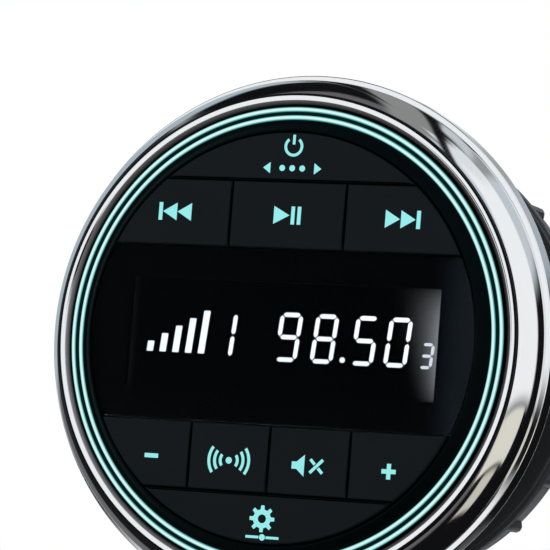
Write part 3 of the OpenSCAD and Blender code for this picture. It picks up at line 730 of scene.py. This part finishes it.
def arrow(x, z, w, h):
    """Triangle from its flat side at x to its point at x + w."""
    return [(x, z - h / 2), (x + w, z), (x, z + h / 2)]


def gear_outline(x, z, root, tip, teeth=8):
    """Gear wheel about (x, z) with flat-topped teeth."""
    pitch = math.tau / teeth
    profile = ((-0.28, root), (-0.17, tip), (0.17, tip), (0.28, root))
    turns = [((k + share) * pitch, radius) for k in range(teeth) for share, radius in profile]
    return [(x + radius * math.cos(a), z + radius * math.sin(a)) for a, radius in turns]


def slanted_stroke(x0, z0, x1, z1, thick):
    """Straight stroke between two points."""
    along = Vector((x1 - x0, z1 - z0)).normalized() * thick / 2
    u, v = along.y, -along.x
    return [(x0 + u, z0 + v), (x1 + u, z1 + v), (x1 - u, z1 - v), (x0 - u, z0 - v)]


sign_h, sign_w, sign_bar = 3.5, 3.0, 0.8
gear_place, gear_hole, slider_z = (-0.3, -35.1), 0.85, -38.65
legends = {
    "power": [
        arc_band(0.3, 37.15, 1.42, 1.98, 128, 412), box_outline(0.3, 38.5, 0.55, 1.9),
        arrow(-4.3, 32.9, -1.5, 2.2), arrow(4.9, 32.9, 1.5, 2.2),
        *[round_outline(0.3 + 2.1 * i, 32.9, 0.6) for i in (-1, 0, 1)],
    ],
    "previous": [
        box_outline(-26.9, row_z, sign_bar, sign_h), arrow(-23.4, row_z, -sign_w, sign_h),
        arrow(-20.3, row_z, -sign_w, sign_h),
    ],
    "play": [
        arrow(-2.8, row_z, 3.3, sign_h), box_outline(1.2, row_z, 0.75, sign_h),
        box_outline(2.5, row_z, 0.75, sign_h),
    ],
    "next": [
        arrow(20.4, row_z, sign_w, sign_h), arrow(23.6, row_z, sign_w, sign_h),
        box_outline(27.2, row_z, sign_bar, sign_h),
    ],
    "volume_down": [box_outline(-24.7, -24.3, 2.9, 0.85)],
    "band": [
        round_outline(-8.2, -24.3, 0.65),
        *[
            arc_band(-8.2, -24.3, r, r + 0.6, side - 36, side + 36)
            for r in (1.5, 2.7, 3.9) for side in (0, 180)
        ],
    ],
    "mute": [
        [(5.0, -25.1), (6.0, -25.1), (7.6, -26.5), (7.6, -22.3), (6.0, -23.7), (5.0, -23.7)],
        slanted_stroke(8.8, -25.7, 11.4, -23.1, 0.6), slanted_stroke(8.8, -23.1, 9.75, -24.05, 0.6),
        slanted_stroke(10.45, -24.75, 11.4, -25.7, 0.6),
    ],
    "volume_up": [
        box_outline(24.95, -24.5, 2.9, 0.85), box_outline(24.95, -23.54, 0.85, 1.07),
        box_outline(24.95, -25.46, 0.85, 1.07),
    ],
    "settings": [
        gear_outline(*gear_place, 1.85, 2.6), round_outline(0.0, slider_z, 0.62),
        box_outline(-2.1, slider_z, 2.7, 0.5), box_outline(2.1, slider_z, 2.7, 0.5),
    ],
}
legend_glow = glow("legend_turquoise", (0.29, 0.79, 0.785), 1.0)
for key, shapes in legends.items():
    plates = [plate(shape, legend_front, legend_t) for shape in shapes]
    if key == "settings":
        cut(plates[0], peg(*gear_place, gear_hole, (legend_front - 1, legend_front + 1), 32))
    dress(joined(key + "_legend", plates), legend_glow, key + "_button", "light_guide")

# Lens: a smoked acrylic plate across the middle of the face, glued on the bridge a little below the
# keys. It is the disc of the key field cut to a band, with a polished front edge. A black printed film
# behind it leaves only the display's window clear, and greys a little towards its right end.
lens_back, lens_front, lens_half, lens_edge = -14.14, -15.6, 16.95, 0.15
lens = band_of_disc("smoked_window", field_r, lens_back, lens_front, z=(-lens_half, lens_half))
soften(lens, lens_front, lens_edge)
smoked = finish(
    "smoked_acrylic", (0.42, 0.44, 0.47), 0.06, grain=400, uneven=0.02, depth=0.0, IOR=1.45,
    Specular_IOR_Level=0.05, Specular_Tint=(0.015, 0.02, 0.025, 1), Transmission_Weight=1.0,
)
dress(lens, smoked, "stereo_body", "smoked_lens", "display_lens")
film_gap, film_inset, clear_x, clear_z = 0.008, 0.2, 32.4, 10.8
film_half = lens_half - film_inset
film_black, grey_start, grey_end, grey_gain = (0.0026, 0.0033, 0.0038), 30.0, 38.0, 16.0
film = band_of_disc(
    "lens_print", field_r - film_inset, bridge_front - film_gap, lens_back + film_gap,
    z=(-film_half, film_half),
)
cut(film, block((-clear_x, clear_x), through, (-clear_z, clear_z)))


def film_finish():
    """Black print whose colour gets lighter towards the right end of the lens."""
    material = finish("lens_print", film_black, 0.5, tint=0.1, depth=0.0, Specular_IOR_Level=0.0)
    tree = material.node_tree
    colour = tree.nodes["Principled BSDF"].inputs["Base Color"]
    gain = ramp(tree, axes_of(tree)["X"], grey_start, grey_end, 1, grey_gain, "SMOOTHSTEP")
    tree.links.new(scaled(tree, colour.links[0].from_socket, gain), colour)
    return material


dress(film, film_finish(), "stereo_body", "fascia_black")

# Bezel: a drawn ring with bright chrome plating that clips over the fascia and the flange. From outside
# in it has a straight rim band, a crease, a rounded flank, a thin valley and the raised land of the lip.
rim_r, rim_back, rim_front, crease_r, edge_y = 52.5, -2.0, -7.0, 51.5, -6.73
valley, lip_r, lip_front, lip_back = Vector((47.95, -13.2)), 46.0, -14.0, -12.2
land_r, land_mid_r, land_start, land_end = 1.34, 47.25, math.radians(-62), math.radians(-123)
slope_r, slope_y, slope_drop = 45.62, -13.2, 0.65
shell_r, shell_low, shell_high, shell_lip, flank_rise = 50.4, -6.4, -11.9, 46.9, 1.0


def arc_points(centre, radius, start, end, steps):
    """Points of an outline along an arc between two angles, without fillets."""
    turns = [start + (end - start) * k / steps for k in range(steps + 1)]
    return [(*point, 0) for point in around(*centre, radius, turns)]


def bulged(start, end, rise, steps):
    """Points from start to end on the arc that stands out from the straight line by rise."""
    chord = end - start
    radius = (chord.length_squared / 4 + rise * rise) / (2 * rise)
    inward = Vector((chord.y, -chord.x)).normalized()
    centre = (start + end) / 2 + inward * (radius - rise)
    a0, a1 = (math.atan2(p.y - centre.y, p.x - centre.x) for p in (start, end))
    return arc_points(centre, radius, a0, a1, steps)


flank = bulged(Vector((crease_r, rim_front)), valley, flank_rise, 28)
land = arc_points(Vector((land_mid_r, lip_front + land_r)), land_r, land_start, land_end, 20)
bezel = turned("chrome_bezel", [
    (shell_r, rim_back, 0.15), (rim_r, rim_back, 0.5), (rim_r, edge_y, 0.3), *flank, *land,
    (slope_r, slope_y, 0.06), (slope_r, slope_y + slope_drop, 0.1), (lip_r, lip_back, 0.1),
    (lip_r, shell_high, 0.1), (shell_lip, shell_high, 0), (shell_r, shell_low, 0),
], 288)
# Painted shade: a black line round the valley and a darkening of the lip's inner slope towards its foot.
valley_shade_middle, valley_shade_half, valley_shade_back, valley_shade_black = 47.75, 0.29, -12.5, (0.004, 0.004, 0.005, 1)
satin_r, satin_soft, satin_rough = 46.55, 0.06, 0.36
# Tint of the painted shade on the lip's inner slope, and its share at the foot and at the top.
slope_shade_tint, slope_shade_low, slope_shade_high = (1.0, 0.97, 1.0), 0.0, 0.32


def chrome_finish():
    """Bright chrome, satin on the lip's inner slope and darkened there towards its foot as painted shade,
    with a black line of painted shade in the valley.
    """
    material = finish(
        "bright_chrome", (0.86, 0.87, 0.88), 0.07, cloud=45, grain=260, tint=0.02, uneven=0.03,
        depth=0.006, Specular_IOR_Level=0.02,
    )
    tree = material.node_tree
    inputs = tree.nodes["Principled BSDF"].inputs
    plating, polish = (inputs[name].links[0].from_socket for name in ("Base Color", "Roughness"))
    out = from_axis(tree)
    # Black non-metal line of painted shade in the valley, on its front side only.
    front = maths(tree, "LESS_THAN", axes_of(tree)["Y"], valley_shade_back)
    painted_valley_shade = maths(tree, "MULTIPLY", maths(tree, "COMPARE", out, valley_shade_middle, valley_shade_half), front)
    # The slope is a real satin roughness, and its colour is painted shade that falls to black towards its
    # foot.
    satin_and_shade_mask = ramp(tree, out, satin_r - satin_soft, satin_r + satin_soft, 1, 0)
    painted_slope_shade = scaled(tree, slope_shade_tint, ramp(tree, out, slope_r, satin_r, slope_shade_low, slope_shade_high))
    slope = mixed(tree, satin_and_shade_mask, plating, painted_slope_shade)
    tree.links.new(mixed(tree, painted_valley_shade, slope, valley_shade_black), inputs["Base Color"])
    tree.links.new(maths(tree, "MULTIPLY_ADD", satin_and_shade_mask, satin_rough, polish), inputs["Roughness"])
    tree.links.new(maths(tree, "SUBTRACT", 1, painted_valley_shade), inputs["Metallic"])
    return material


dress(bezel, chrome_finish(), "stereo_body", "chrome", "bezel_ring")

# Panel gasket and slip washer: a foam ring under the bezel that seals against the dash, and a plain hard
# ring that lets the nut turn without twisting it. Both are punched flat, with slightly rounded edges.
gasket_in_r, gasket_out_r, gasket_front = 43.5, 51.0, -2.0
washer_in_r, washer_out_r, washer_front, washer_back = 43.0, 46.7, 25.5, 27.0


def flat_ring(name, inner, outer, front, back, edge):
    """Punched ring with soft edges."""
    return turned(name, [
        (inner, front, edge), (outer, front, edge), (outer, back, edge), (inner, back, edge),
    ], arc=3)


gasket = flat_ring("foam_gasket", gasket_in_r, gasket_out_r, gasket_front, 0, 0.3)
foam = finish("gasket_foam", (0.016, 0.0165, 0.017), 0.85, grain=1400, tint=0.35, depth=0.6)
dress(gasket, foam, "stereo_body", "gasket_foam", "panel_gasket")
washer = flat_ring("slip_ring", washer_in_r, washer_out_r, washer_front, washer_back, 0.25)
slip_black = finish("slip_black", (0.02, 0.021, 0.022), 0.5, grain=2000, depth=0.06)
dress(washer, slip_black, "washer", "nut_black", "slip_washer")

# Ring nut: a large moulded nut that pulls the whole unit against the dash by hand. It has a plain collar
# in front and round grip ribs behind, drawn up from one ribbed outline with a chamfer at the back.
nut_bore_r, nut_r, nut_collar_r, nut_front, nut_back = 42.6, 45.3, 47.1, 27.0, 41.0
collar_back, grip_front, rib_r, rib_count, rib_steps = 30.0, 29.5, 1.2, 24, 16
grip_edge, grip_points = ((0.9, 1.0), (0.25, 0.994), (0.0, 0.99), (0.0, 1.0)), rib_count * rib_steps
collar = turned("nut_collar", [
    (nut_bore_r, nut_front, 0.4), (nut_collar_r, nut_front, 0.4), (nut_collar_r, collar_back, 0.6),
    (nut_bore_r, collar_back, 0),
])


def ribbed_reach(angle):
    """Radius of the ribbed outline at an angle from the middle of a rib."""
    aside = nut_r * math.sin(angle)
    rib = nut_r * math.cos(angle) + math.sqrt(max(0, rib_r ** 2 - aside ** 2))
    return max(nut_r, rib) if abs(aside) < rib_r else nut_r


grip = started(bpy.ops.mesh.primitive_circle_add, vertices=grip_points, radius=nut_r * mm)
for i, corner in enumerate(grip.data.vertices):
    turn = math.tau * i / grip_points
    step = (i + rib_steps // 2) % rib_steps - rib_steps // 2
    reach = ribbed_reach(math.tau * step / grip_points) * mm
    corner.co = (reach * math.cos(turn), grip_front * mm, reach * math.sin(turn))
open_all()


def draw_out(to_y, from_y, shrink=1.0):
    """Draws the open edge of the grip on to a new level and shrinks it towards the axis."""
    bpy.ops.mesh.extrude_region_move(TRANSFORM_OT_translate={"value": (0, (to_y - from_y) * mm, 0)})
    bpy.ops.transform.resize(value=(shrink, 1, shrink), center_override=(0, 0, 0))


level = grip_front
for short, shrink in grip_edge:
    draw_out(nut_back - short, level, shrink)
    level = nut_back - short
bpy.ops.object.mode_set(mode="OBJECT")
for corner in grip.data.vertices:
    if corner.select:
        out = math.hypot(corner.co.x, corner.co.z)
        corner.co.x *= nut_bore_r * mm / out
        corner.co.z *= nut_bore_r * mm / out
bpy.ops.object.mode_set(mode="EDIT")
draw_out(grip_front, nut_back)
bpy.ops.mesh.select_all(action="DESELECT")
bpy.ops.mesh.select_non_manifold()
bpy.ops.mesh.bridge_edge_loops()
close_up(grip, 40)
nut_black = finish("nut_black", (0.011, 0.0135, 0.018), 0.38, grain=2600, depth=0.08)
dress(joined("ribbed_nut", [collar, grip]), nut_black, "nut", "nut_black", "ring_nut")

# Studio: a pale floor under the bezel that fades out into the white backdrop, soft lamps, and a world
# that shows polished metal a photo studio, with lit panels to both sides and behind and a round screen
# in front.
floor_drop, floor_size, fade_start, fade_end = 0.2, 2.4, 0.3, 1.1


def floor_finish():
    """Pale matt floor that fades out with the distance from its middle, in metres."""
    material = finish("floor_white", (0.86, 0.86, 0.87), 0.6, cloud=3, tint=0.01, depth=0.0)
    tree = material.node_tree
    place = node(tree, "TexCoord").outputs["Object"]
    away = node(tree, "VectorMath", [(0, place)], operation="LENGTH").outputs["Value"]
    shown = ramp(tree, away, fade_start, fade_end, 1, 0, "SMOOTHSTEP")
    tree.links.new(shown, tree.nodes["Principled BSDF"].inputs["Alpha"])
    return material


floor = started(bpy.ops.mesh.primitive_plane_add, (0, 0, -(rim_r + floor_drop) * mm), size=floor_size)
floor.name = "studio_floor"
floor.data.materials.append(floor_finish())
floor.visible_glossy = False


def soft_edge(tree, value, edge, softness, low, high):
    """Mask that goes from low to high while a value passes an edge."""
    near = maths(tree, "SUBTRACT", edge, softness)
    wide = maths(tree, "ADD", edge, softness)
    return ramp(tree, value, near, wide, low, high, "SMOOTHSTEP")


def masked(tree, masks):
    """Ends a group with the product of its two masks."""
    both = maths(tree, "MULTIPLY", *masks)
    tree.links.new(both, tree.nodes.new("NodeGroupOutput").inputs["Mask"])
    return tree


def panel_group():
    """Soft-edged lit panel in a world of azimuth and elevation, all in degrees."""
    tree, given = new_group("studio_panel", (
        "Azimuth", "Elevation", "Centre Azimuth", "Centre Elevation", "Half Width", "Half Height",
        "Softness", "Slant",
    ), ("Mask",))
    aside = maths(tree, "SUBTRACT", given["Azimuth"], given["Centre Azimuth"])
    aside = maths(tree, "WRAP", aside, -180, 180)
    tilt = maths(tree, "MULTIPLY", aside, given["Slant"])
    above = maths(tree, "SUBTRACT", given["Elevation"], given["Centre Elevation"])
    above = maths(tree, "SUBTRACT", above, tilt)
    return masked(tree, [
        soft_edge(tree, maths(tree, "ABSOLUTE", offset), given[half], given["Softness"], 1, 0)
        for offset, half in ((aside, "Half Width"), (above, "Half Height"))
    ])


def band_group():
    """Soft-edged lit band in a world of directions, between two angles in degrees from an axis."""
    tree, given = new_group(
        "studio_band", ("Inner", "Outer", "Softness"), ("Mask",), ("Facing", "Axis"),
    )
    off = node(tree, "VectorMath", [(0, given["Facing"]), (1, given["Axis"])], operation="DOT_PRODUCT")
    off = maths(tree, "DEGREES", maths(tree, "ARCCOSINE", off.outputs["Value"]))
    return masked(tree, [
        soft_edge(tree, off, given[edge], given["Softness"], low, high)
        for edge, low, high in (("Inner", 0, 1), ("Outer", 1, 0))
    ])


# Panels are azimuth, elevation, half width, half height, softness, slant if any, and colour. Bands are
# axis, inner and outer angle, softness and colour. Each is painted over those before it.
to_front, to_side, to_arm = (-0.39, -0.917, 0.085), (0.676, 0.004, -0.737), (0.87, 0.14, -0.473)
studio_areas = [
    (to_front, 45, 72, 4, (0.13, 0.125, 0.13)),
    (146, 44, 40, 22, 6, (0.58, 0.63, 0.66)),
    (175, 21, 22, 8, 4, (0.40, 0.45, 0.50)),
    (to_side, 106, 112.5, 2, (0.33, 0.34, 0.34)),
    (to_arm, 104, 122, 2, (0.27, 0.28, 0.27)),
    (30, 29, 15, 31, 3, (0.55, 0.62, 0.72)),
    (72, 60, 43, 12, 3, (0.80, 0.83, 0.85)),
    (75, 23, 36, 34, 4, (0.96, 0.97, 0.98)),
    (to_arm, 102.4, 106.9, 1, (0.006, 0.006, 0.007)),
    (70, -22, 31, 9, 1.2, (0.78, 0.75, 0.66)),
    (72, -41, 16, 8, 2.5, (0.62, 0.59, 0.51)),
    (-85, -33, 40, 29, 4, (0.012, 0.012, 0.013)),
    (-132, -24, 28, 21, 4, (0.15, 0.15, 0.16)),
    (-117, 20, 31, 22, 5, (0.92, 0.95, 0.97)),
    (-164, 0, 19, 17, 4, (0.88, 0.91, 0.94)),
    (-87, 14, 17, 27, 3, (0.02, 0.022, 0.025)),
    (-126, 22, 22, 24, 4, (0.42, 0.50, 0.55)),
    (-90, 4, 13, 10, 3, (0.02, 0.022, 0.025)),
    (-85, 58, 26, 15, 5, (0.004, 0.005, 0.006)),
    (-157.5, 50, 3.6, 40, 1.6, (0.008, 0.01, 0.01)),
    (to_front, -10, 49, 4, (0.95, 0.97, 0.98)),
    (16, -9, 14, 7, 4, -0.3, (0.008, 0.008, 0.009)),
    (-51, -9, 8, 11, 5, (0.03, 0.03, 0.032)),
]
world = bpy.data.worlds.new("studio")
bpy.context.scene.world = world
world.use_nodes = True
sky = world.node_tree
sky.nodes.clear()
facing = node(sky, "TexCoord").outputs["Generated"]
axes = node(sky, "SeparateXYZ", [("Vector", facing)]).outputs
azimuth = maths(sky, "ARCTAN2", axes["X"], maths(sky, "MULTIPLY", axes["Y"], -1))
azimuth = maths(sky, "DEGREES", azimuth)
elevation = maths(sky, "DEGREES", maths(sky, "ARCSINE", axes["Z"]))
panel, band = panel_group(), band_group()
studio = (0.006, 0.006, 0.007, 1)
for *shape, colour in studio_areas:
    is_band = isinstance(shape[0], tuple)
    group, ways = (band, [facing]) if is_band else (panel, [azimuth, elevation])
    area = node(sky, "Group", enumerate(ways + shape), node_tree=group)
    studio = mixed(sky, area.outputs["Mask"], studio, (*colour, 1))
path = node(sky, "LightPath").outputs
polished = maths(sky, "MAXIMUM", path["Is Glossy Ray"], path["Is Transmission Ray"])
white, mirror, fill = (
    node(sky, "Background", [("Color", colour), ("Strength", strength)]).outputs[0]
    for colour, strength in (((1, 1, 1, 1), 1.0), (studio, 1.0), ((0.95, 0.97, 1, 1), 0.55))
)
shown = node(sky, "MixShader", [(0, polished), (1, fill), (2, mirror)]).outputs[0]
shown = node(sky, "MixShader", [(0, path["Is Camera Ray"]), (1, shown), (2, white)]).outputs[0]
node(sky, "OutputWorld", [("Surface", shown)])
for name, place, size, power in (
    ("key_lamp", (-0.35, -0.7, 0.6), 0.5, 7.0),
    ("side_lamp", (0.8, 0.1, 0.45), 0.6, 5.0),
    ("back_lamp", (-0.3, 0.8, 0.5), 0.6, 9.0),
):
    lamp = bpy.data.lights.new(name, "AREA")
    lamp.size, lamp.energy = size, power
    holder = bpy.data.objects.new(name, lamp)
    bpy.context.scene.collection.objects.link(holder)
    holder.location = place
    holder.rotation_euler = (-Vector(place)).to_track_quat("-Z", "Y").to_euler()
    holder.visible_glossy = False

# Camera: a long lens a little below and to the right of the face, tipped as in the photograph. The frame
# crops the part at the bottom and at the right.
view_azimuth, view_elevation, view_roll = (math.radians(a) for a in (23.06, -4.86, 4.48))
view_distance, view_right, view_up, view_lens = 691.2, -1.34, 12.23, 233.8
view = Matrix.Rotation(view_azimuth, 3, "Z") @ Matrix.Rotation(math.pi / 2 - view_elevation, 3, "X")
view = view @ Matrix.Rotation(view_roll, 3, "Z")
eye = Vector((0, deck_y, 0)) + view @ Vector((view_right, view_up, view_distance))
lens_data = bpy.data.cameras.new("photo_view")
lens_data.lens = view_lens
lens_data.clip_start, lens_data.clip_end = 0.01, 20
camera = bpy.data.objects.new("photo_view", lens_data)
bpy.context.scene.collection.objects.link(camera)
camera.matrix_world = Matrix.Translation(eye * mm) @ view.to_4x4()
bpy.context.scene.camera = camera
bpy.context.scene.view_settings.view_transform = "Standard"
